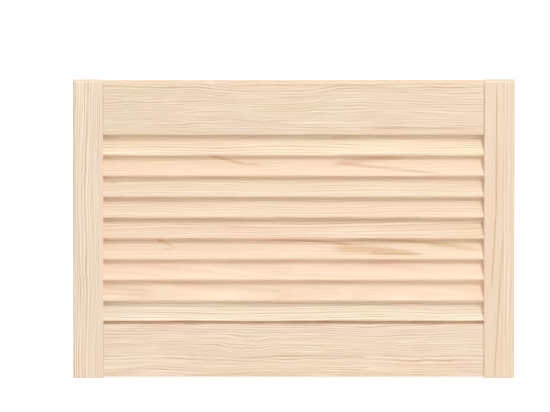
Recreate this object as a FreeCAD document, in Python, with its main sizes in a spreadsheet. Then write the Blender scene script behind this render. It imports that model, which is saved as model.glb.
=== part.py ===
"""Louvred cabinet door: two stiles, two rails and a row of fixed, slanted slats.

The origin is the middle of the left stile's outer edge. X runs across the door,
the front faces -Y and Z points up. Lengths are in millimetres, angles in degrees.
"""
import FreeCAD, Part
import Sketcher
import math
import os

SIZES = (
    ("door_width", 594.0, "overall width over both stiles"),
    ("stile_length", 404.5, "length of a stile, the overall height"),
    ("frame_thickness", 20.0, "thickness of the stiles and rails"),
    ("stile_width", 41.0, "width of a stile seen from the front"),
    ("rail_width", 72.0, "width of a rail seen from the front"),
    ("top_step", 1.25, "how far the stiles stand past the top rail"),
    ("bottom_step", 2.55, "how far the stiles stand past the bottom rail"),
    ("edge_radius", 3.5, "rounding of the frame's outer arrises"),
    ("inner_easing", 1.1, "rounding of the arrises round the slats"),
    ("slat_count", 9, "number of slats"),
    ("slat_thickness", 6.0, "thickness of a slat"),
    ("slat_tilt", 25.0, "lean of a slat away from upright, upper edge to the back"),
    ("slat_setback", 1.05, "distance of a slat's edges behind the frame's faces"),
    ("slat_easing", 1.0, "rounding of a slat's four long arrises"),
    ("top_margin", 0.3, "clear height between the top rail and the first slat"),
    ("bottom_margin", 1.2, "clear height between the last slat and the bottom rail"),
    ("mortise_depth", 9.0, "depth of the slanted mortises in the stiles"),
    ("mortise_clearance", 0.1, "gap round a slat's end in its mortise"),
    ("mortise_end_gap", 0.5, "gap between a slat's end and the bottom of its mortise"),
)

# Derived sizes, as expressions on the sheet's cells.
TILT = "Sizes.slat_tilt * 1 deg"
RAIL_LENGTH = "(Sizes.door_width - 2 * Sizes.stile_width)"
DOOR_MIDDLE = "(Sizes.door_width / 2)"
TOP_RAIL_HEIGHT = "(Sizes.stile_length / 2 - Sizes.top_step - Sizes.rail_width / 2)"
BOTTOM_RAIL_HEIGHT = "(Sizes.bottom_step + Sizes.rail_width / 2 - Sizes.stile_length / 2)"
OPENING_TOP = f"({TOP_RAIL_HEIGHT} - Sizes.rail_width / 2)"
OPENING_HEIGHT = f"({TOP_RAIL_HEIGHT} - {BOTTOM_RAIL_HEIGHT} - Sizes.rail_width)"
SLAT_REACH = "(Sizes.frame_thickness - 2 * Sizes.slat_setback)"
SLAT_WIDTH = f"(({SLAT_REACH} - Sizes.slat_thickness * cos({TILT})) / sin({TILT}))"
SLAT_RISE = f"({SLAT_WIDTH} * cos({TILT}) + Sizes.slat_thickness * sin({TILT}))"
SLAT_RUN = f"({OPENING_HEIGHT} - {SLAT_RISE} - Sizes.top_margin - Sizes.bottom_margin)"
SLAT_PITCH = f"({SLAT_RUN} / (Sizes.slat_count - 1))"
FIRST_SLAT_HEIGHT = f"({OPENING_TOP} - Sizes.top_margin - {SLAT_RISE} / 2)"
SLAT_LENGTH = f"({RAIL_LENGTH} + 2 * (Sizes.mortise_depth - Sizes.mortise_end_gap))"

TOLERANCE = 1e-6


def make_sheet(doc):
    """Write the driving dimensions, one to a row, each under its own alias."""
    sheet = doc.addObject("Spreadsheet::Sheet", "Sizes")
    for row, (alias, value, meaning) in enumerate(SIZES, start=1):
        sheet.set(f"A{row}", alias)
        sheet.set(f"B{row}", str(value))
        sheet.set(f"C{row}", meaning)
        sheet.setAlias(f"B{row}", alias)
    doc.recompute()
    return sheet


def bind(feature, expressions):
    """Tie properties of a feature to expressions on the sheet."""
    for path, expression in expressions.items():
        feature.setExpression(path, expression)


def make_body(doc, label, placement):
    """Start a sub-part whose place in the door follows the sheet."""
    body = doc.addObject("PartDesign::Body", label)
    body.Label = label
    bind(body, {f"Placement.Base.{axis}": place for axis, place in placement.items()})
    return body


def origin_feature(body, role):
    """Return one of the body's own origin planes or axes."""
    return next(item for item in body.Origin.OriginFeatures if item.Role == role)


def add_sketch(body, name, plane):
    """Attach an empty sketch to one of the body's origin planes."""
    sketch = body.newObject("Sketcher::SketchObject", name)
    sketch.AttachmentSupport = [(origin_feature(body, plane), "")]
    sketch.MapMode = "FlatFace"
    return sketch


def add_size(sketch, constraint, name, expression):
    """Add a dimension to a sketch and bind it to an expression."""
    index = sketch.addConstraint(constraint)
    sketch.renameConstraint(index, name)
    sketch.setExpression(f"Constraints.{name}", expression)


def draw_rectangle(sketch, width, height):
    """Draw a rectangle centred on the sketch's origin, at its size from the start."""
    across = sketch.evalExpression(width) / 2
    up = sketch.evalExpression(height) / 2
    signs = ((-1, -1), (1, -1), (1, 1), (-1, 1))
    corners = [FreeCAD.Vector(x * across, y * up, 0) for x, y in signs]
    lines = [
        sketch.addGeometry(Part.LineSegment(start, end))
        for start, end in zip(corners, corners[1:] + corners[:1])
    ]
    bottom, right, top, left = lines
    for first, second in zip(lines, lines[1:] + lines[:1]):
        sketch.addConstraint(Sketcher.Constraint("Coincident", first, 2, second, 1))
    for line in (bottom, top):
        sketch.addConstraint(Sketcher.Constraint("Horizontal", line))
    for line in (right, left):
        sketch.addConstraint(Sketcher.Constraint("Vertical", line))
    sketch.addConstraint(Sketcher.Constraint("Symmetric", bottom, 1, top, 1, -1, 1))
    add_size(sketch, Sketcher.Constraint("DistanceX", bottom, 1, bottom, 2, 2 * across), "width", width)
    add_size(sketch, Sketcher.Constraint("DistanceY", right, 1, right, 2, 2 * up), "height", height)


def draw_rounded_rectangle(sketch, width, height, radius):
    """Draw a round-cornered rectangle centred on the sketch's origin, at its size from the start."""
    across = sketch.evalExpression(width) / 2
    up = sketch.evalExpression(height) / 2
    bend = sketch.evalExpression(radius)
    upward = FreeCAD.Vector(0, 0, 1)
    arcs = []
    for quarter, (x, y) in enumerate(((1, 1), (-1, 1), (-1, -1), (1, -1))):
        centre = FreeCAD.Vector(x * (across - bend), y * (up - bend), 0)
        start = quarter * math.pi / 2
        arc = Part.ArcOfCircle(Part.Circle(centre, upward, bend), start, start + math.pi / 2)
        arcs.append(sketch.addGeometry(arc))
    sides = []
    for first, second in zip(arcs, arcs[1:] + arcs[:1]):
        run = Part.LineSegment(sketch.getPoint(first, 2), sketch.getPoint(second, 1))
        side = sketch.addGeometry(run)
        sketch.addConstraint(Sketcher.Constraint("Tangent", first, 2, side, 1))
        sketch.addConstraint(Sketcher.Constraint("Tangent", side, 2, second, 1))
        sides.append(side)
    top, left, bottom, right = sides
    for line in (top, bottom):
        sketch.addConstraint(Sketcher.Constraint("Horizontal", line))
    for line in (left, right):
        sketch.addConstraint(Sketcher.Constraint("Vertical", line))
    sketch.addConstraint(Sketcher.Constraint("Equal", arcs[0], arcs[2]))
    sketch.addConstraint(Sketcher.Constraint("Symmetric", arcs[0], 3, arcs[2], 3, -1, 1))
    add_size(sketch, Sketcher.Constraint("DistanceX", left, 1, right, 1, 2 * across), "width", width)
    add_size(sketch, Sketcher.Constraint("DistanceY", bottom, 1, top, 1, 2 * up), "height", height)
    add_size(sketch, Sketcher.Constraint("Radius", arcs[0], bend), "radius", radius)


def pad_both_ways(body, name, sketch, length):
    """Pad a sketch by half the length to each side of its plane."""
    pad = body.newObject("PartDesign::Pad", name)
    pad.Profile = sketch
    pad.SideType = "Symmetric"
    bind(pad, {"Length": length})
    return pad


def face_arrises(shape, sheet, axis, position):
    """Name the edges of the front and back faces that lie at a coordinate along an axis."""
    half_thickness = sheet.get("frame_thickness") / 2
    names = []
    for number, edge in enumerate(shape.Edges, start=1):
        points = [vertex.Point for vertex in edge.Vertexes]
        on_front = all(abs(point.y + half_thickness) < TOLERANCE for point in points)
        on_back = all(abs(point.y - half_thickness) < TOLERANCE for point in points)
        in_line = all(abs(getattr(point, axis) - position) < TOLERANCE for point in points)
        if in_line and (on_front or on_back):
            names.append(f"Edge{number}")
    return names


def round_arrises(body, name, base, edges, radius):
    """Round the named edges of the base feature."""
    fillet = body.newObject("PartDesign::Fillet", name)
    fillet.Base = (base, edges)
    bind(fillet, {"Radius": radius})
    body.Document.recompute()
    return fillet


def make_frame_blank(body, width, height):
    """Make a squared length of frame timber, centred on the body's origin."""
    outline = add_sketch(body, "Outline", "XZ_Plane")
    draw_rectangle(outline, width, height)
    blank = pad_both_ways(body, "Blank", outline, "Sizes.frame_thickness")
    body.Document.recompute()
    return blank


def add_slat_section(body, name, clearance, place):
    """Draw a slat's section, grown by a clearance and leaning back about the place given."""
    section = add_sketch(body, name, "YZ_Plane")
    draw_rounded_rectangle(
        section,
        f"Sizes.slat_thickness + 2 * {clearance}",
        f"{SLAT_WIDTH} + 2 * {clearance}",
        f"Sizes.slat_easing + {clearance}",
    )
    bind(section, {f".AttachmentOffset.Base.{axis}": offset for axis, offset in place.items()})
    bind(section, {".AttachmentOffset.Rotation.Angle": f"-{TILT}"})
    return section


def make_stile(doc, sheet, label, place, inner_side):
    """Make a stile: rounded outer edge and ends, and a slanted mortise for each slat."""
    body = make_body(doc, label, {"x": place})
    blank = make_frame_blank(body, "Sizes.stile_width", "Sizes.stile_length")
    inner_edge = inner_side * sheet.get("stile_width") / 2
    end = sheet.get("stile_length") / 2
    outer = face_arrises(blank.Shape, sheet, "x", -inner_edge)
    ends = face_arrises(blank.Shape, sheet, "z", end) + face_arrises(blank.Shape, sheet, "z", -end)
    rounded = round_arrises(body, "OuterRounding", blank, outer + ends, "Sizes.edge_radius")
    inner = face_arrises(rounded.Shape, sheet, "x", inner_edge)
    eased = round_arrises(body, "InnerEasing", rounded, inner, "Sizes.inner_easing")

    first_seat = {"y": FIRST_SLAT_HEIGHT, "z": f"{inner_side} * Sizes.stile_width / 2"}
    mortise = body.newObject("PartDesign::Pocket", "Mortise")
    mortise.Profile = add_slat_section(body, "MortiseSection", "Sizes.mortise_clearance", first_seat)
    mortise.Reversed = inner_side < 0
    bind(mortise, {"Length": "Sizes.mortise_depth"})
    doc.recompute()
    if mortise.Shape.Volume > eased.Shape.Volume - TOLERANCE:
        raise RuntimeError(f"the mortise cuts nothing from {label}")

    mortises = body.newObject("PartDesign::LinearPattern", "Mortises")
    mortises.Originals = [mortise]
    mortises.Direction = (origin_feature(body, "Z_Axis"), [""])
    mortises.Reversed = True
    bind(mortises, {"Length": SLAT_RUN, "Occurrences": "Sizes.slat_count"})
    body.Tip = mortises
    return body


def make_rail(doc, sheet, label, height, outer_side):
    """Make a rail: rounded along its outer edge and eased along the edge beside the slats."""
    body = make_body(doc, label, {"x": DOOR_MIDDLE, "z": height})
    blank = make_frame_blank(body, RAIL_LENGTH, "Sizes.rail_width")
    outer_edge = outer_side * sheet.get("rail_width") / 2
    outer = face_arrises(blank.Shape, sheet, "z", outer_edge)
    rounded = round_arrises(body, "OuterRounding", blank, outer, "Sizes.edge_radius")
    inner = face_arrises(rounded.Shape, sheet, "z", -outer_edge)
    round_arrises(body, "InnerEasing", rounded, inner, "Sizes.inner_easing")
    return body


def make_slat(doc, number):
    """Make one slat, counted from the top, with both ends seated in the stiles' mortises."""
    height = f"{FIRST_SLAT_HEIGHT} - {number - 1} * {SLAT_PITCH}"
    body = make_body(doc, f"slat_{number}", {"x": DOOR_MIDDLE, "z": height})
    pad_both_ways(body, "Strip", add_slat_section(body, "Section", "0", {}), SLAT_LENGTH)
    return body


def check(doc):
    """Stop if any feature failed or any sub-part is not one valid solid."""
    for item in doc.Objects:
        if "Invalid" in item.State or "Error" in item.State:
            raise RuntimeError(f"{item.Label} failed: {item.State}")
    for item in doc.findObjects("PartDesign::Body"):
        shape = item.Shape
        if shape.isNull() or not shape.isValid() or len(shape.Solids) != 1:
            raise RuntimeError(f"{item.Label} is not one valid solid")


def export(doc):
    """Write each sub-part to a STEP file of its own name."""
    os.makedirs("parts", exist_ok=True)
    for item in doc.findObjects("PartDesign::Body"):
        item.Shape.exportStep(f"parts/{item.Label}.step")


def main():
    """Build the door and write its sub-parts."""
    doc = FreeCAD.newDocument("LouvredDoor")
    sheet = make_sheet(doc)
    make_stile(doc, sheet, "left_stile", "Sizes.stile_width / 2", 1)
    make_stile(doc, sheet, "right_stile", "Sizes.door_width - Sizes.stile_width / 2", -1)
    make_rail(doc, sheet, "top_rail", TOP_RAIL_HEIGHT, 1)
    make_rail(doc, sheet, "bottom_rail", BOTTOM_RAIL_HEIGHT, -1)
    for number in range(1, int(sheet.get("slat_count")) + 1):
        make_slat(doc, number)
    doc.recompute()
    check(doc)
    export(doc)


main()
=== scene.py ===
"""Finish a louvred pine cabinet door: every board gets its own cut of procedural pine.

The boards keep the shapes that model.glb gives them. Each one is shaded as a piece sawn
from a log, so rings run through its face, its edges and its ends alike.
"""
import math
from collections import namedtuple

import bpy
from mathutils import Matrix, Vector


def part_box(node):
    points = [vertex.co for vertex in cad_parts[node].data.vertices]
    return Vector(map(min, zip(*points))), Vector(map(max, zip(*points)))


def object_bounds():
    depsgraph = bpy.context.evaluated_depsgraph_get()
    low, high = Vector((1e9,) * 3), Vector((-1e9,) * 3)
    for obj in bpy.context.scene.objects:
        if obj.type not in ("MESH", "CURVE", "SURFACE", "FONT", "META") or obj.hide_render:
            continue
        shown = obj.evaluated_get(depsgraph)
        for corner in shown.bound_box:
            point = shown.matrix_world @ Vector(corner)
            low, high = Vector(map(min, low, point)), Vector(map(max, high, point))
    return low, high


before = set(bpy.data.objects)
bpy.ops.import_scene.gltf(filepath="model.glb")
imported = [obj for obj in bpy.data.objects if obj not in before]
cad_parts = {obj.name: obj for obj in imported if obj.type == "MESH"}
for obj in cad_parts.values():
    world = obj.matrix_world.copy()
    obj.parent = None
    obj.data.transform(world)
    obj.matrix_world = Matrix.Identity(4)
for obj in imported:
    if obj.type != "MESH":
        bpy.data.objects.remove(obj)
cad_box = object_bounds()

bl_info = {
    "name": "Louvred Pine Door",
    "version": (1, 0, 0),
    "blender": (4, 5, 0),
    "location": "3D View > Sidebar > Door",
    "description": "Finishes the boards of a louvred door in bare pine and sets a studio round it",
    "category": "Object",
}

STILES = ("left_stile", "right_stile")
RAILS = ("top_rail", "bottom_rail")
SLATS = tuple(sorted(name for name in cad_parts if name.startswith("slat_")))

# A board as its edges get painted light and shade: its own places, the way its surface faces, and half
# its box.
Board = namedtuple("Board", "name local facing half")

# Turns from the door's axes to a board's own: x along the grain, y across the face, z out of the front.
SLAT_LEAN = math.radians(25)
STILE_TURN = (math.pi / 2, -math.pi / 2, 0)
RAIL_TURN = (math.pi / 2, 0, 0)
SLAT_TURN = (math.pi / 2 - SLAT_LEAN, 0, 0)

# What sets each board's cut of the log apart from the defaults. Lengths are in metres, places are
# along the grain and across the face, and tones are screen colours.
FIGURES = {
    "left_stile": {
        "pith_across": 0.16, "pith_behind": 0.03, "ring_width": 0.0041, "ring_contrast": 0.5,
        "streaks": 0.8, "waviness": 0.006, "unevenness": 1.3, "lines_low": -0.015,
        "early": (0.952, 0.868, 0.775), "late": (0.815, 0.718, 0.605), "pale": (1.0, 0.965, 0.858),
    },
    "right_stile": {
        "pith_across": -0.09, "pith_behind": 0.02, "ring_width": 0.0046, "ring_contrast": 0.7,
        "streaks": 0.45, "waviness": 0.004, "lines_high": 0.0,
        "early": (0.940, 0.862, 0.760), "late": (0.825, 0.705, 0.575), "pale": (0.970, 0.915, 0.808),
        "marks": (
            {"start": (0.21, 0.0043), "end": (0.0, 0.0043), "width": 0.0013, "strength": 1.0},
            {"start": (0.03, 0.0043), "end": (-0.09, 0.0110), "width": 0.0012, "strength": 0.9},
            {"start": (0.01, -0.0059), "end": (-0.23, 0.0082), "width": 0.0012, "strength": 0.7},
        ),
    },
    "top_rail": {
        "pith_across": 0.12, "pith_behind": 0.035, "ring_width": 0.0041, "ring_contrast": 0.35,
        "streaks": 0.75, "line_length": 0.042, "waviness": 0.008,
        "sag_place": (-0.036, 0.034), "sag_reach": (0.10, 0.05), "sag": 0.0075,
        "curl_place": (-0.205, 0.018), "curl": 0.003,
        "early": (0.932, 0.850, 0.749), "late": (0.810, 0.695, 0.575), "pale": (0.985, 0.922, 0.815),
        "marks": (
            {"start": (-0.02, 0.0320), "end": (0.27, 0.0322), "width": 0.0012, "strength": 0.45},
            {"start": (0.03, 0.0270), "end": (0.27, 0.0282), "width": 0.0012, "strength": 0.55},
            {"start": (0.08, -0.0265), "end": (0.27, -0.0270), "width": 0.0012, "strength": 0.9},
        ),
    },
    "bottom_rail": {
        "pith_across": -0.12, "pith_behind": 0.03, "ring_width": 0.0040, "ring_contrast": 0.35,
        "streaks": 0.85, "line_length": 0.042, "waviness": 0.007,
        "sag_place": (-0.062, 0.003), "sag_reach": (0.044, 0.024), "sag": 0.0050,
        "curl_place": (-0.062, 0.007), "curl": 0.009,
        "early": (0.940, 0.863, 0.770), "late": (0.810, 0.697, 0.575), "pale": (0.985, 0.928, 0.820),
        "marks": (
            {"start": (-0.09, -0.0085), "end": (0.12, -0.0095), "width": 0.0012, "strength": 1.0},
        ),
    },
    "slat_1": {
        "pith_across": 0.07, "ring_width": 0.0042, "ring_contrast": 0.7, "streaks": 0.85,
        "early": (0.977, 0.905, 0.807), "late": (0.860, 0.735, 0.590), "pale": (1.0, 0.958, 0.845),
    },
    "slat_2": {
        "pith_across": 0.05, "pith_behind": 0.04, "ring_width": 0.0053, "ring_contrast": 0.15,
        "streaks": 0.25, "early": (0.982, 0.898, 0.798), "late": (0.840, 0.670, 0.530),
        "marks": (
            {"start": (0.045, 0.001), "end": (0.160, 0.0145),
             "width": 0.0050, "taper": -0.3, "strength": 0.38},
            {"start": (0.045, 0.004), "end": (0.215, -0.0145),
             "width": 0.0036, "taper": 0.4, "strength": 0.36},
            {"start": (-0.125, 0.0170), "end": (-0.064, 0.0015), "bend": -0.001,
             "width": 0.0028, "strength": 0.36},
            {"start": (-0.090, 0.0050), "end": (-0.034, -0.0025), "bend": -0.001,
             "width": 0.0022, "strength": 0.28},
            {"start": (-0.076, 0.0035), "end": (-0.040, 0.0005), "width": 0.0016, "strength": 0.3},
        ),
    },
    "slat_3": {
        "pith_across": -0.06, "ring_width": 0.0044, "ring_contrast": 0.4, "streaks": 0.7,
        "early": (0.953, 0.880, 0.776), "late": (0.830, 0.710, 0.590),
    },
    "slat_4": {
        "pith_across": 0.08, "ring_width": 0.0042, "ring_contrast": 0.4, "streaks": 0.65,
        "early": (0.962, 0.878, 0.776), "late": (0.835, 0.710, 0.590),
    },
    "slat_5": {
        "pith_across": -0.07, "lean_across": 0.02, "ring_width": 0.0040, "ring_contrast": 0.7,
        "streaks": 0.85, "early": (0.963, 0.867, 0.762), "late": (0.805, 0.680, 0.560),
    },
    "slat_6": {
        "pith_across": 0.05, "pith_behind": 0.04, "ring_width": 0.0047, "ring_contrast": 0.15,
        "streaks": 0.3, "early": (0.985, 0.898, 0.803), "late": (0.818, 0.670, 0.490),
        "marks": (
            {"start": (0.044, 0.002), "end": (0.182, -0.0085),
             "width": 0.0115, "taper": 0.75, "strength": 0.41},
            {"start": (0.095, -0.007), "end": (0.178, -0.0085),
             "width": 0.0044, "taper": 0.3, "strength": 0.26},
            {"start": (0.055, 0.0125), "end": (0.258, -0.003), "bend": 0.0052,
             "width": 0.0022, "taper": -1.0, "strength": 0.34},
            {"start": (0.175, 0.0060), "end": (0.258, -0.004),
             "width": 0.0040, "taper": 0.2, "strength": 0.16},
            {"start": (-0.04, 0.0115), "end": (0.082, 0.0045), "bend": 0.0026,
             "width": 0.0020, "strength": 0.4},
            {"start": (-0.192, 0.0170), "end": (-0.158, 0.0005),
             "width": 0.0036, "taper": 0.3, "strength": 0.4},
            {"start": (-0.180, -0.0040), "end": (-0.156, 0.0015), "width": 0.0024, "strength": 0.2},
        ),
    },
    "slat_7": {
        "pith_across": 0.006, "pith_behind": 0.040, "lean_behind": 0.02, "ring_width": 0.0050,
        "ring_contrast": 0.15, "streaks": 0.35,
        "early": (0.981, 0.888, 0.788), "late": (0.880, 0.750, 0.625),
    },
    "slat_8": {
        "pith_across": -0.008, "pith_behind": 0.045, "lean_behind": -0.02, "ring_width": 0.0054,
        "ring_contrast": 0.4, "streaks": 0.4,
        "early": (0.970, 0.882, 0.780), "late": (0.880, 0.755, 0.630),
        "marks": (
            {"start": (-0.28, 0.013), "end": (-0.15, 0.003), "width": 0.0016, "strength": 0.3},
            {"start": (-0.28, 0.005), "end": (-0.17, -0.004), "width": 0.0016, "strength": 0.3},
            {"start": (-0.28, -0.004), "end": (-0.18, -0.010), "width": 0.0016, "strength": 0.3},
        ),
    },
    "slat_9": {
        "pith_across": 0.09, "ring_width": 0.0042, "ring_contrast": 0.8, "streaks": 1.0,
        "early": (0.962, 0.906, 0.813), "late": (0.825, 0.722, 0.595), "pale": (1.0, 0.972, 0.875),
    },
}

# Noise scales along the grain, across the face and through the board, in turns per metre. Along the
# grain, streaks and lines count in turns per line length.
SLOW_WANDER = (6.0, 12.0, 12.0)
QUICK_WANDER = (26.0, 80.0, 80.0)
CURL_WANDER = (130.0, 60.0, 60.0)
FADING_SCALE = (9.0, 70.0, 70.0)
DARK_STREAK_SCALE = (0.4167, 760.0, 250.0)
PALE_STREAK_SCALE = (0.5, 900.0, 250.0)
LINE_FADING_SCALE = (1.0, 140.0, 60.0)
BAND_SCALE = (5.0, 110.0, 110.0)
FIBRE_SCALE = (45.0, 1900.0, 1900.0)
TINT_SCALE = (6.0, 40.0, 40.0)
NOISE_MIDDLE = 0.5

# Each noise of a board starts from a seed of its own, counted on from the board's.
BOARD_SEED_STEP = 10.0
QUICK_SEED = 3.0
FADING_SEED = 5.0
CURL_SEED = 7.0
DARK_SEED = 11.0
PALE_SEED = 12.0
BAND_SEED = 13.0
FIBRE_SEED = 17.0
TINT_SEED = 23.0
LINE_SEED = 31.0

WANDER_GAIN = 3.0
WANDER_DEPTH = 0.5
QUICK_SHARE = 0.2
CURL_REACH = (0.036, 0.017)
CURL_CORE = 0.1
UNEVEN_PACE = 0.31

# Late wood builds up slowly through a ring and ends at once, against the palest early wood.
LATE_PROFILE = ((0.0, 0.0), (0.50, 0.06), (0.72, 0.35), (0.86, 1.0), (0.94, 0.9), (1.0, 0.0))
PALE_PROFILE = ((0.0, 0.6), (0.08, 1.0), (0.20, 0.7), (0.38, 0.0), (0.96, 0.0), (1.0, 0.6))

# Values of a noise or a slope between which a feature goes from hidden to plain.
RING_SHOWS = (0.34, 0.64)
LINE_SHOWS = (0.36, 0.62)
PALE_SHOWS = (0.54, 0.70)
TINT_SHOWS = (0.46, 0.72)
BAND_SHOWS = (0.3, 0.7)
WEAR_SHOWS = (0.1, 1.0)
END_SHOWS = (0.02, 0.25)
EDGE_SHOWS = (0.14, 0.46)

# Least shares that are left of a feature where it shows least.
RING_LEAST = 0.3
LINE_LEAST = 0.2
FADING_LEAST = 0.5
UNLINED_LEAST = 0.15

LINE_SPACINGS = (0.0029, 0.0036)
LINE_MARGIN = 0.002
STREAK_CONTRAST = 0.9
BAND_CONTRAST = 0.15
MIDDLE_TONE = 0.25
PALE_SHARE = 0.4
MARK_WANDER = 0.25
MARK_LEAST = 0.3
MARK_BREAKS = 1.4
MARK_RISE = (0.0, 0.2)
MARK_FALL = (0.75, 1.0)
FIBRE_DARKEST = 0.95
FIBRE_CONTRAST = 0.10

PINK_TINT = (1.0, 0.957, 0.945, 1.0)
GREEN_TINT = (0.985, 0.993, 0.938, 1.0)
WEAR_TINT = (0.995, 0.975, 0.95, 1.0)
ARRIS_GAIN = 4.0
END_TINT = (1.0, 1.01, 1.03, 1.0)
END_CALM = 0.35
# Painted light on the stiles' feet, for light thrown up by the floor.
FOOT_PAINTED_LIGHT = (1.05, 1.11, 1.19, 1.0)
# Painted warm highlight on the top rail's upper edges.
TOP_EDGE_PAINTED_HIGHLIGHT = (1.08, 0.99, 0.945, 1.0)
# Painted light on the rails' lower edges, for light thrown up by the floor.
LOWER_EDGE_PAINTED_LIGHT = (1.04, 1.08, 1.13, 1.0)
# Painted shade on the last slat's lower edge.
LAST_SLAT_PAINTED_SHADE = (0.86, 0.72, 0.62, 1.0)
# Painted shade in the gap between the last slat and the bottom rail.
GAP_PAINTED_SHADE = (0.85, 0.66, 0.55, 1.0)
GAP_SHADE_DEPTH = 0.010
GAP_SHADE_FADE = 0.004
# Painted shade in the rails' joints with the right stile.
JOINT_PAINTED_SHADE = (0.76, 0.68, 0.61, 1.0)
JOINT_SHADE_WIDTH = 0.0016

ROUGHNESS = 0.56
FIBRE_ROUGHNESS = 0.16
LATE_POLISH = 0.08
WEAR_POLISH = 0.08
SPECULAR = 0.3
LATE_HEIGHT = 0.5
STREAK_HEIGHT = 0.6
BUMP_STRENGTH = 0.35
BUMP_HEIGHT = 0.00012

# The photograph's frame, and the door's place in it, in pixels.
IMAGE_WIDTH = 550
IMAGE_HEIGHT = 412
DOOR_LEFT = 72.85
DOOR_RIGHT = 514.45
DOOR_MIDDLE_HEIGHT = 228.8
SENSOR = 36.0
FARTHEST = 100.0

TOP_HEIGHT = math.radians(80)
TOP_DISTANCE = 2.5
TOP_SIZE = (1.8, 1.8)
FILL_SIDE = math.radians(-72)
FILL_HEIGHT = math.radians(5)
FILL_DISTANCE = 4.0
FILL_SIZE = (2.0, 2.0)
BACK_SIDE = math.radians(200)
BACK_HEIGHT = math.radians(5)
BACK_DISTANCE = 4.5
BACK_SIZE = (2.0, 1.0)
WHITE = (1.0, 1.0, 1.0, 1.0)
SURROUND_SHADE = Vector((0.955, 0.978, 1.085))
FLOOR_SIZE = 60.0
FLOOR_TONE = (0.90, 0.90, 0.89, 1.0)
FLOOR_ROUGHNESS = 0.9
FLOOR_GLOW_SEEN = (0.62, 0.62, 0.62, 1.0)
FLOOR_GLOW_CAST = (0.12, 0.12, 0.12, 1.0)


class GrainMark(bpy.types.PropertyGroup):
    """One line of dark grain that stands out on a board's face."""

    start: bpy.props.FloatVectorProperty(
        name="Start", description="Where the line begins, along the grain and across the face",
        size=2, unit="LENGTH",
    )
    end: bpy.props.FloatVectorProperty(
        name="End", description="Where the line ends, along the grain and across the face",
        size=2, unit="LENGTH",
    )
    bend: bpy.props.FloatProperty(
        name="Bend", description="How far the middle of the line bows across the face",
        default=0.0, unit="LENGTH",
    )
    width: bpy.props.FloatProperty(
        name="Width", description="Half the width of the line where it begins",
        default=0.0014, min=0.0001, unit="LENGTH",
    )
    taper: bpy.props.FloatProperty(
        name="Taper", description="Share of its width that the line loses by its end",
        default=0.0, min=-1.0, max=0.9,
    )
    strength: bpy.props.FloatProperty(
        name="Strength", description="How dark the line is",
        default=1.0, min=0.0, max=1.0, subtype="FACTOR",
    )


class BoardFigure(bpy.types.PropertyGroup):
    """How one board was cut from its log, and the tones of its wood."""

    pith_across: bpy.props.FloatProperty(
        name="Pith across", description="Distance of the log's centre beside the board's middle",
        default=0.08, unit="LENGTH",
    )
    pith_behind: bpy.props.FloatProperty(
        name="Pith behind", description="Distance of the log's centre behind the board's middle",
        default=0.02, unit="LENGTH",
    )
    lean_across: bpy.props.FloatProperty(
        name="Lean across", description="Drift of the log's centre across the face, per metre",
        default=0.0,
    )
    lean_behind: bpy.props.FloatProperty(
        name="Lean to the face", description="Drift of the log's centre towards the face, per metre",
        default=0.0,
    )
    ring_width: bpy.props.FloatProperty(
        name="Ring width", description="Distance from one growth ring to the next",
        default=0.005, min=0.0005, unit="LENGTH",
    )
    ring_contrast: bpy.props.FloatProperty(
        name="Ring contrast", description="How dark the late wood of a ring is",
        default=0.6, min=0.0, max=1.0, subtype="FACTOR",
    )
    unevenness: bpy.props.FloatProperty(
        name="Unevenness", description="How far the rings depart from equal widths, in rings",
        default=1.2, min=0.0,
    )
    waviness: bpy.props.FloatProperty(
        name="Waviness", description="How far the grain wanders from a straight line",
        default=0.004, min=0.0, unit="LENGTH",
    )
    curl_place: bpy.props.FloatVectorProperty(
        name="Curl place", description="Middle of a patch of curly grain, along the board and across it",
        default=(0.0, 0.0), size=2, unit="LENGTH",
    )
    curl: bpy.props.FloatProperty(
        name="Curl", description="How far the grain swings in that patch",
        default=0.0, min=0.0, unit="LENGTH",
    )
    sag_place: bpy.props.FloatVectorProperty(
        name="Sag place", description="Where the grain sags most, along the board and across its face",
        default=(0.0, 0.0), size=2, unit="LENGTH",
    )
    sag_reach: bpy.props.FloatVectorProperty(
        name="Sag reach", description="How far from that place the grain sags, along and across",
        default=(0.1, 0.05), min=0.005, size=2, unit="LENGTH",
    )
    sag: bpy.props.FloatProperty(
        name="Sag", description="How far the grain sags there", default=0.0, min=0.0, unit="LENGTH",
    )
    line_length: bpy.props.FloatProperty(
        name="Line length", description="Length over which the fine lines come and go",
        default=1.0 / 12, min=0.005, unit="LENGTH",
    )
    lines_low: bpy.props.FloatProperty(
        name="Lines from", description="Place across the face where the lines begin",
        default=-1.0, unit="LENGTH",
    )
    lines_high: bpy.props.FloatProperty(
        name="Lines to", description="Place across the face where the lines end",
        default=1.0, unit="LENGTH",
    )
    streaks: bpy.props.FloatProperty(
        name="Streaks", description="Strength of the fine lines between the rings",
        default=0.5, min=0.0, max=1.0, subtype="FACTOR",
    )
    pale: bpy.props.FloatVectorProperty(
        name="Pale lines", description="Tone of the palest lines beside the rings",
        default=(0.99, 0.93, 0.82), min=0.0, max=1.0, subtype="COLOR_GAMMA",
    )
    early: bpy.props.FloatVectorProperty(
        name="Early wood", description="Tone of the pale wood between the rings",
        default=(0.96, 0.87, 0.76), min=0.0, max=1.0, subtype="COLOR_GAMMA",
    )
    late: bpy.props.FloatVectorProperty(
        name="Late wood", description="Tone of the dark side of a ring",
        default=(0.88, 0.76, 0.62), min=0.0, max=1.0, subtype="COLOR_GAMMA",
    )
    marks: bpy.props.CollectionProperty(
        name="Marks", description="Lines of dark grain that stand out on the face", type=GrainMark,
    )


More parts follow.
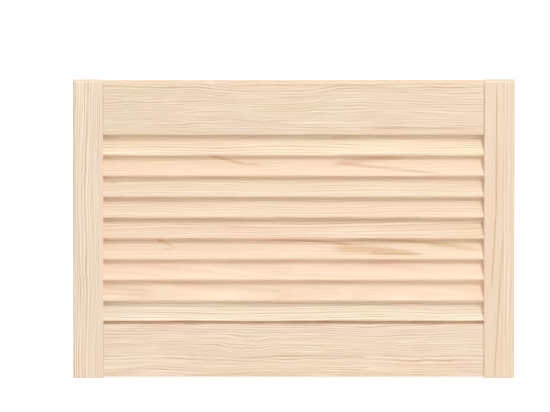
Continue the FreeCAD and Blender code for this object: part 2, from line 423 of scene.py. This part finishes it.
class StudioSettings(bpy.types.PropertyGroup):
    """Camera and light of the studio."""

    camera_distance: bpy.props.FloatProperty(
        name="Camera distance", description="Distance from the camera to the door",
        default=20.0, min=1.0, unit="LENGTH",
    )
    camera_height: bpy.props.FloatProperty(
        name="Camera height angle", description="Angle at which the camera looks down on the door",
        default=math.radians(8), subtype="ANGLE",
    )
    key_power: bpy.props.FloatProperty(
        name="Key power", description="Power of the soft key light",
        default=86.5, min=0.0, unit="POWER",
    )
    key_width: bpy.props.FloatProperty(
        name="Key width", description="Width of the soft key light",
        default=0.6, min=0.01, unit="LENGTH",
    )
    key_length: bpy.props.FloatProperty(
        name="Key length", description="Height of the soft key light",
        default=1.8, min=0.01, unit="LENGTH",
    )
    key_distance: bpy.props.FloatProperty(
        name="Key distance", description="Distance from the key light to the door",
        default=4.5, min=0.1, unit="LENGTH",
    )
    key_side: bpy.props.FloatProperty(
        name="Key side angle", description="Angle of the key light to the right of the front",
        default=math.radians(31), subtype="ANGLE",
    )
    key_height: bpy.props.FloatProperty(
        name="Key height angle", description="Angle of the key light above the horizon",
        default=math.radians(39.5), subtype="ANGLE",
    )
    top_power: bpy.props.FloatProperty(
        name="Top power", description="Power of the broad light overhead",
        default=18.0, min=0.0, unit="POWER",
    )
    fill_power: bpy.props.FloatProperty(
        name="Fill power", description="Power of the broad light at the left",
        default=16.0, min=0.0, unit="POWER",
    )
    back_power: bpy.props.FloatProperty(
        name="Back power", description="Power of the broad light behind the door",
        default=46.0, min=0.0, unit="POWER",
    )
    surround: bpy.props.FloatProperty(
        name="Surround", description="Brightness of the white surround as it lights the door",
        default=0.448, min=0.0,
    )


class Wire:
    """A shader socket on which arithmetic adds Math nodes."""

    def __init__(self, sheet, socket):
        self.sheet = sheet
        self.socket = socket

    def math(self, operation, first, second):
        return self.sheet.node("ShaderNodeMath", {"operation": operation}, {0: first, 1: second})

    def __add__(self, other):
        return self.math("ADD", self, other)

    def __radd__(self, other):
        return self.math("ADD", other, self)

    def __sub__(self, other):
        return self.math("SUBTRACT", self, other)

    def __rsub__(self, other):
        return self.math("SUBTRACT", other, self)

    def __mul__(self, other):
        return self.math("MULTIPLY", self, other)

    def __rmul__(self, other):
        return self.math("MULTIPLY", other, self)

    def __truediv__(self, other):
        return self.math("DIVIDE", self, other)

    def __rtruediv__(self, other):
        return self.math("DIVIDE", other, self)

    def __pow__(self, other):
        return self.math("POWER", self, other)

    def __rpow__(self, other):
        return self.math("POWER", other, self)

    def output(self, name):
        """Another output of the same node."""
        return Wire(self.sheet, self.socket.node.outputs[name])


class NodeSheet:
    """A node tree that is written as Python expressions."""

    def __init__(self, tree):
        self.tree = tree
        tree.nodes.clear()

    def node(self, kind, settings=None, inputs=None, output=0):
        """Add a node: its settings first, then the values or links of its sockets."""
        made = self.tree.nodes.new(kind)
        for name, value in (settings or {}).items():
            if name == "stops":
                self.set_stops(made.color_ramp, value)
            else:
                setattr(made, name, value)
        for name, value in (inputs or {}).items():
            if isinstance(value, Wire):
                self.tree.links.new(value.socket, made.inputs[name])
            else:
                made.inputs[name].default_value = value
        return Wire(self, made.outputs[output]) if len(made.outputs) else made

    def set_stops(self, ramp, stops):
        """Give a colour ramp its grey stops."""
        while len(ramp.elements) < len(stops):
            ramp.elements.new(1.0)
        for element, (position, grey) in zip(ramp.elements, stops):
            element.position = position
            element.color = (grey, grey, grey, 1.0)

    def vector(self, operation, first, second):
        return self.node("ShaderNodeVectorMath", {"operation": operation}, {0: first, 1: second})

    def scaled(self, vector, value):
        return self.node("ShaderNodeVectorMath", {"operation": "SCALE"}, {0: vector, "Scale": value})

    def noise(self, places, scale, seed, detail=2.0):
        """Smooth noise from 0 to 1, about a half, with its own scale in each direction."""
        places = self.vector("MULTIPLY", places, scale)
        inputs = {"Vector": places, "W": seed, "Scale": 1.0, "Detail": detail}
        return self.node("ShaderNodeTexNoise", {"noise_dimensions": "4D"}, inputs)

    def swing(self, places, scale, seed, detail=2.0):
        """Smooth noise as a vector about zero."""
        colour = self.noise(places, scale, seed, detail).output("Color")
        return self.vector("SUBTRACT", colour, (NOISE_MIDDLE, NOISE_MIDDLE, NOISE_MIDDLE))

    def parts(self, vector):
        return self.node("ShaderNodeSeparateXYZ", {}, {0: vector})

    def ramp(self, value, stops):
        return self.node("ShaderNodeValToRGB", {"stops": stops}, {0: value})

    def between(self, value, low, high):
        """0 below the low value, 1 above the high one, and a smooth step between."""
        inputs = {"Value": value, "From Min": low, "From Max": high}
        return self.node("ShaderNodeMapRange", {"interpolation_type": "SMOOTHSTEP"}, inputs)

    def mix(self, factor, first, second, blend="MIX"):
        settings = {"data_type": "RGBA", "blend_type": blend}
        return self.node("ShaderNodeMix", settings, {0: factor, 6: first, 7: second}, output=2)

    def tinted(self, factor, colour, tint):
        return self.mix(factor, colour, tint, "MULTIPLY")


def linear(colour):
    """A screen colour as the linear values that a shader takes."""
    channels = [c / 12.92 if c <= 0.04045 else ((c + 0.055) / 1.055) ** 2.4 for c in colour]
    return (*channels, 1.0)


def at_least(value, least):
    """A value from 0 to 1, raised so that it never falls below the least."""
    return value * (1.0 - least) + least


def patch(sheet, local, place, reach, core=0.0):
    """1 at a place on a board's face, and 0 from its reach outwards."""
    spot = sheet.parts(local)
    along = (spot - place[0]) * (1.0 / reach[0])
    across = (spot.output("Y") - place[1]) * (1.0 / reach[1])
    return 1.0 - sheet.between(along * along + across * across, core, 1.0)


def wandering(sheet, local, figure, seed):
    """How far the grain at each place of a board has wandered from a straight line."""
    slow = sheet.swing(local, SLOW_WANDER, seed, 1.0)
    quick = sheet.swing(local, QUICK_WANDER, seed + QUICK_SEED)
    wave = WANDER_GAIN * figure.waviness
    shift = sheet.mix(QUICK_SHARE, slow, quick)
    shift = sheet.vector("MULTIPLY", shift, (0.0, wave, WANDER_DEPTH * wave))
    if figure.curl > 0.0:
        near = patch(sheet, local, figure.curl_place, CURL_REACH, CURL_CORE)
        curly = sheet.swing(local, CURL_WANDER, seed + CURL_SEED)
        curly = sheet.vector("MULTIPLY", curly, (0.0, figure.curl, 0.0))
        shift = sheet.vector("ADD", shift, sheet.scaled(curly, near))
    if figure.sag > 0.0:
        near = patch(sheet, local, figure.sag_place, figure.sag_reach)
        shift = sheet.vector("ADD", shift, sheet.scaled((0.0, figure.sag, 0.0), near))
    return shift


def log_rings(sheet, places, figure, seed):
    """The growth ring that each place lies in, counted from the log's centre."""
    along = sheet.parts(places)
    side = along.output("Y") - figure.pith_across - along * figure.lean_across
    deep = along.output("Z") + figure.pith_behind - along * figure.lean_behind
    rings = (side * side + deep * deep) ** 0.5 * (1.0 / figure.ring_width)
    inputs = {"W": rings * UNEVEN_PACE + seed, "Scale": 1.0, "Detail": 1.0}
    uneven = sheet.node("ShaderNodeTexNoise", {"noise_dimensions": "1D"}, inputs)
    return rings + (uneven - NOISE_MIDDLE) * figure.unevenness


def layered(sheet, layers, seed):
    """How far through its layer each place lies, and a chance weight for the whole layer."""
    phase = sheet.node("ShaderNodeMath", {"operation": "FRACT"}, {0: layers})
    number = sheet.node("ShaderNodeMath", {"operation": "FLOOR"}, {0: layers})
    weight = sheet.node("ShaderNodeTexWhiteNoise", {"noise_dimensions": "1D"}, {"W": number + seed})
    return phase, weight


def fine_lines(sheet, layers, run, seed):
    """Thin lines, one to each layer, that swing both ways about a board's tone and come and go."""
    phase, weight = layered(sheet, layers, seed)
    swing = sheet.node("ShaderNodeMath", {"operation": "ABSOLUTE"}, {0: phase - 0.5}) * 4.0 - 1.0
    showing = sheet.between(sheet.noise(run, LINE_FADING_SCALE, seed, 1.0), *LINE_SHOWS)
    return swing * at_least(weight, LINE_LEAST) * showing


def lined_share(sheet, grain, figure):
    """How much of the lines a place across the face shows."""
    across = sheet.parts(grain).output("Y")
    above = sheet.between(across, figure.lines_low - LINE_MARGIN, figure.lines_low + LINE_MARGIN)
    past = sheet.between(across, figure.lines_high - LINE_MARGIN, figure.lines_high + LINE_MARGIN)
    return at_least(above * (1.0 - past), UNLINED_LEAST)


def marked(sheet, spot, mark, fibres):
    """How strongly one line of dark grain shows at each place, broken up by the fibres."""
    share = (spot - mark.start[0]) * (1.0 / (mark.end[0] - mark.start[0]))
    bow = share * (1.0 - share) * (4.0 * mark.bend)
    middle = mark.start[1] + share * (mark.end[1] - mark.start[1]) + bow
    offset = (spot.output("Y") - middle) / (mark.width * (1.0 - share * mark.taper))
    line = 1.0 - sheet.between(offset * offset, 0.0, 1.0)
    ends = sheet.between(share, *MARK_RISE) * (1.0 - sheet.between(share, *MARK_FALL))
    return line * ends * fibres * mark.strength


def stile_painted_light(sheet, board, colour):
    """Painted pale light on the feet, standing in for light that the floor throws up."""
    foot = sheet.between(0.0 - board.facing, *EDGE_SHOWS)
    return sheet.tinted(foot, colour, FOOT_PAINTED_LIGHT)


def rail_painted_light_and_shade(sheet, board, colour):
    """Painted light on lower edges and the top rail's upper edges, painted shade in the gap and right
    joint.
    """
    spot = sheet.parts(board.local)
    upper = sheet.between(board.facing.output("Y"), *EDGE_SHOWS)
    lower = sheet.between(0.0 - board.facing.output("Y"), *EDGE_SHOWS)
    if board.name == "top_rail":
        # Painted warm highlight on the top rail's upper edges, as light from above would give them.
        colour = sheet.tinted(upper, colour, TOP_EDGE_PAINTED_HIGHLIGHT)
    else:
        # Painted shade on the front of the bottom rail's upper edge, in the gap under the last slat.
        deep = board.half.y - GAP_SHADE_DEPTH
        near = sheet.between(spot.output("Z"), deep, deep + GAP_SHADE_FADE)
        colour = sheet.tinted(upper * near, colour, GAP_PAINTED_SHADE)
    # Painted light on the lower edges, for light thrown up by the floor.
    colour = sheet.tinted(lower, colour, LOWER_EDGE_PAINTED_LIGHT)
    # Painted shade along the rail's right end, where it meets the stile on the side away from the key
    # light.
    joint = sheet.between(spot, board.half.x - JOINT_SHADE_WIDTH, board.half.x)
    return sheet.tinted(joint, colour, JOINT_PAINTED_SHADE)


def slat_painted_shade(sheet, board, colour):
    """Painted shade on the last slat's lower edge, which stands close above the bottom rail."""
    if board.name != SLATS[-1]:
        return colour
    lower = sheet.between(0.0 - board.facing.output("Y"), *EDGE_SHOWS)
    return sheet.tinted(lower, colour, LAST_SLAT_PAINTED_SHADE)


def pine(name, figure, turn, edges, seed):
    """Bare planed pine for one board, cut from its own place in the log."""
    low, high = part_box(name)
    material = bpy.data.materials.new(f"pine_{name}")
    material.use_nodes = True
    sheet = NodeSheet(material.node_tree)
    places = sheet.node("ShaderNodeTexCoord", output="Object")
    turned = {"vector_type": "TEXTURE"}
    local = sheet.node("ShaderNodeMapping", turned, {
        "Vector": places, "Location": (low + high) / 2, "Rotation": turn,
    })
    facing = sheet.parts(sheet.node("ShaderNodeMapping", turned, {
        "Vector": places.output("Normal"), "Rotation": turn,
    }))
    shift = wandering(sheet, local, figure, seed)
    grain = sheet.vector("ADD", local, shift)
    run = sheet.vector("MULTIPLY", grain, (1.0 / figure.line_length, 1.0, 1.0))

    rings = log_rings(sheet, grain, figure, seed)
    phase, weight = layered(sheet, rings, seed)
    fading = sheet.between(sheet.noise(grain, FADING_SCALE, seed + FADING_SEED, 1.0), *RING_SHOWS)
    fading = at_least(fading, FADING_LEAST)
    late = sheet.ramp(phase, LATE_PROFILE) * at_least(weight, RING_LEAST) * fading
    pale = sheet.ramp(phase, PALE_PROFILE) * fading
    dark_streak = sheet.noise(run, DARK_STREAK_SCALE, seed + DARK_SEED, 1.0)
    pale_streak = sheet.noise(run, PALE_STREAK_SCALE, seed + PALE_SEED, 1.0)
    band = sheet.noise(grain, BAND_SCALE, seed + BAND_SEED, 1.0)
    fibre = sheet.noise(grain, FIBRE_SCALE, seed + FIBRE_SEED)
    tint = sheet.noise(grain, TINT_SCALE, seed + TINT_SEED)

    lined = lined_share(sheet, grain, figure)
    streak = (dark_streak - NOISE_MIDDLE) * STREAK_CONTRAST * fading
    for count, spacing in enumerate(LINE_SPACINGS):
        layers = rings * (figure.ring_width / spacing)
        streak = streak + fine_lines(sheet, layers, run, seed + LINE_SEED + count)
    dark = (late * figure.ring_contrast + streak * figure.streaks) * lined
    dark = dark + MIDDLE_TONE + (band - NOISE_MIDDLE) * BAND_CONTRAST
    spot = sheet.parts(sheet.vector("ADD", local, sheet.scaled(shift, MARK_WANDER)))
    for mark in figure.marks:
        dark = dark + marked(sheet, spot, mark, MARK_LEAST + dark_streak * MARK_BREAKS)
    bright = sheet.between(pale_streak, *PALE_SHOWS) * fading * figure.streaks
    bright = pale * (figure.ring_contrast * PALE_SHARE) + bright

    colour = sheet.mix(dark, linear(figure.early), linear(figure.late))
    colour = sheet.mix(bright * lined, colour, linear(figure.pale))
    colour = sheet.tinted(sheet.between(tint, *TINT_SHOWS), colour, PINK_TINT)
    colour = sheet.tinted(sheet.between(1.0 - tint, *TINT_SHOWS), colour, GREEN_TINT)
    colour = sheet.scaled(colour, FIBRE_DARKEST + fibre * FIBRE_CONTRAST)

    sideways = facing.output("Y") * facing.output("Y")
    endways = facing * facing
    outward = facing.output("Z") * facing.output("Z")
    end_grain = sheet.between(endways, *END_SHOWS)
    colour = sheet.mix(end_grain * END_CALM, colour, linear(figure.early))
    colour = sheet.tinted(end_grain, colour, END_TINT)
    worn = sheet.between((sideways + endways) * outward * ARRIS_GAIN, *WEAR_SHOWS)
    worn = worn * sheet.between(band, *BAND_SHOWS)
    colour = sheet.tinted(worn, colour, WEAR_TINT)
    # Painted light and shade on the board's edges.
    colour = edges(sheet, Board(name, local, facing, (high - low) / 2), colour)

    height = late * LATE_HEIGHT + fibre + dark_streak * STREAK_HEIGHT
    bump = sheet.node("ShaderNodeBump", {}, {
        "Strength": BUMP_STRENGTH, "Distance": BUMP_HEIGHT, "Height": height,
    })
    roughness = ROUGHNESS + fibre * FIBRE_ROUGHNESS - late * LATE_POLISH - worn * WEAR_POLISH
    surface = sheet.node("ShaderNodeBsdfPrincipled", {}, {
        "Base Color": colour, "Roughness": roughness, "Normal": bump, "Specular IOR Level": SPECULAR,
    })
    sheet.node("ShaderNodeOutputMaterial", {}, {"Surface": surface})
    return material


def finish_boards(context, names, turn, edges):
    """Give each named board its own pine."""
    for name in names:
        figure = context.scene.door_boards[name]
        seed = BOARD_SEED_STEP * list(FIGURES).index(name)
        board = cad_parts[name]
        board.data.materials.clear()
        board.data.materials.append(pine(name, figure, turn, edges, seed))


class DOOR_OT_finish_stiles(bpy.types.Operator):
    """Finish the two stiles, grain upright"""

    bl_idname = "door.finish_stiles"
    bl_label = "Finish stiles"

    def execute(self, context):
        finish_boards(context, STILES, STILE_TURN, stile_painted_light)
        return {"FINISHED"}


class DOOR_OT_finish_rails(bpy.types.Operator):
    """Finish the two rails, grain across the door"""

    bl_idname = "door.finish_rails"
    bl_label = "Finish rails"

    def execute(self, context):
        finish_boards(context, RAILS, RAIL_TURN, rail_painted_light_and_shade)
        return {"FINISHED"}


class DOOR_OT_finish_slats(bpy.types.Operator):
    """Finish the slats, grain across the door and the figure turned with their lean"""

    bl_idname = "door.finish_slats"
    bl_label = "Finish slats"

    def execute(self, context):
        finish_boards(context, SLATS, SLAT_TURN, slat_painted_shade)
        return {"FINISHED"}


def direction(side, height):
    """A unit vector from the door towards a place in front of it, to the right and above."""
    flat = math.cos(height)
    return Vector((math.sin(side) * flat, -math.cos(side) * flat, math.sin(height)))


def set_camera(studio):
    """Place a long-lens camera so that the door fills the photograph's pixels."""
    low, high = cad_box
    pixel = (high.x - low.x) / (DOOR_RIGHT - DOOR_LEFT)
    towards = direction(0.0, studio.camera_height)
    upward = Vector((0.0, math.sin(studio.camera_height), math.cos(studio.camera_height)))
    aim = (low + high) / 2
    aim = aim + Vector((IMAGE_WIDTH / 2 - (DOOR_LEFT + DOOR_RIGHT) / 2, 0, 0)) * pixel
    aim = aim + upward * (DOOR_MIDDLE_HEIGHT - IMAGE_HEIGHT / 2) * pixel
    bpy.ops.object.camera_add(location=aim + towards * studio.camera_distance)
    camera = bpy.context.object
    camera.rotation_euler = (-towards).to_track_quat("-Z", "Y").to_euler()
    camera.data.sensor_width = SENSOR
    camera.data.lens = SENSOR * studio.camera_distance / (IMAGE_WIDTH * pixel)
    camera.data.clip_end = FARTHEST
    bpy.context.scene.camera = camera


def add_soft_light(name, towards, distance, size, power):
    """Hang a soft light that faces the middle of the door."""
    low, high = cad_box
    bpy.ops.object.light_add(type="AREA", location=(low + high) / 2 + towards * distance)
    light = bpy.context.object
    light.name = name
    light.rotation_euler = (-towards).to_track_quat("-Z", "Y").to_euler()
    light.data.shape = "RECTANGLE"
    light.data.size, light.data.size_y = size
    light.data.energy = power


def set_lights(studio):
    """A soft upright key in front, to the right, and broad lights overhead, at the left and behind."""
    key_place = direction(studio.key_side, studio.key_height)
    key_size = (studio.key_width, studio.key_length)
    add_soft_light("key_light", key_place, studio.key_distance, key_size, studio.key_power)
    top_place = direction(0.0, TOP_HEIGHT)
    add_soft_light("top_light", top_place, TOP_DISTANCE, TOP_SIZE, studio.top_power)
    fill_place = direction(FILL_SIDE, FILL_HEIGHT)
    add_soft_light("fill_light", fill_place, FILL_DISTANCE, FILL_SIZE, studio.fill_power)
    back_place = direction(BACK_SIDE, BACK_HEIGHT)
    add_soft_light("back_light", back_place, BACK_DISTANCE, BACK_SIZE, studio.back_power)


def set_surround(studio):
    """Make the surround plain white to the eye, and an even soft light for the door."""
    world = bpy.data.worlds.new("surround")
    world.use_nodes = True
    bpy.context.scene.world = world
    sheet = NodeSheet(world.node_tree)
    seen = sheet.node("ShaderNodeLightPath", output="Is Camera Ray")
    seen = seen + seen.output("Is Glossy Ray") + seen.output("Is Transmission Ray")
    cast = (*SURROUND_SHADE * studio.surround, 1.0)
    light = sheet.node("ShaderNodeBackground", {}, {"Color": sheet.mix(seen, cast, WHITE)})
    sheet.node("ShaderNodeOutputWorld", {}, {"Surface": light})


def set_floor():
    """Lay a plain pale floor under the stiles' ends."""
    low, high = cad_box
    bpy.ops.mesh.primitive_plane_add(size=FLOOR_SIZE, location=((low.x + high.x) / 2, 0.0, low.z))
    floor = bpy.context.object
    floor.name = "floor"
    material = bpy.data.materials.new("pale_floor")
    material.use_nodes = True
    sheet = NodeSheet(material.node_tree)
    seen = sheet.node("ShaderNodeLightPath", output="Is Camera Ray")
    glow = sheet.mix(seen, FLOOR_GLOW_CAST, FLOOR_GLOW_SEEN)
    surface = sheet.node("ShaderNodeBsdfPrincipled", {}, {
        "Base Color": FLOOR_TONE, "Roughness": FLOOR_ROUGHNESS, "Specular IOR Level": 0.0,
        "Emission Color": glow, "Emission Strength": 1.0,
    })
    sheet.node("ShaderNodeOutputMaterial", {}, {"Surface": surface})
    floor.data.materials.append(material)


class DOOR_OT_set_stage(bpy.types.Operator):
    """Set the floor, the white surround, the soft lights and the camera"""

    bl_idname = "door.set_stage"
    bl_label = "Set stage"

    def execute(self, context):
        studio = context.scene.door_studio
        context.scene.view_settings.view_transform = "Standard"
        set_floor()
        set_surround(studio)
        set_lights(studio)
        set_camera(studio)
        return {"FINISHED"}


class DOOR_PT_sidebar(bpy.types.Panel):
    """Finishing steps of the door"""

    bl_idname = "DOOR_PT_sidebar"
    bl_label = "Louvred Pine Door"
    bl_space_type = "VIEW_3D"
    bl_region_type = "UI"
    bl_category = "Door"

    def draw(self, context):
        for operator in OPERATORS:
            self.layout.operator(operator.bl_idname)


OPERATORS = (DOOR_OT_finish_stiles, DOOR_OT_finish_rails, DOOR_OT_finish_slats, DOOR_OT_set_stage)
CLASSES = (GrainMark, BoardFigure, StudioSettings, *OPERATORS, DOOR_PT_sidebar)


def register():
    for item in CLASSES:
        bpy.utils.register_class(item)
    bpy.types.Scene.door_boards = bpy.props.CollectionProperty(type=BoardFigure)
    bpy.types.Scene.door_studio = bpy.props.PointerProperty(type=StudioSettings)


def unregister():
    del bpy.types.Scene.door_studio
    del bpy.types.Scene.door_boards
    for item in reversed(CLASSES):
        bpy.utils.unregister_class(item)


def set_values(group, values):
    """Set the properties of a group, and add its marks one by one."""
    for name, value in values.items():
        if name == "marks":
            for mark in value:
                set_values(group.marks.add(), mark)
        else:
            setattr(group, name, value)


def main():
    """Finish the boards and set the stage."""
    register()
    for name, values in FIGURES.items():
        figure = bpy.context.scene.door_boards.add()
        figure.name = name
        set_values(figure, values)
    bpy.ops.object.select_all(action="DESELECT")
    bpy.ops.door.finish_stiles()
    bpy.ops.door.finish_rails()
    bpy.ops.door.finish_slats()
    bpy.ops.door.set_stage()


if __name__ == "__main__":
    main()
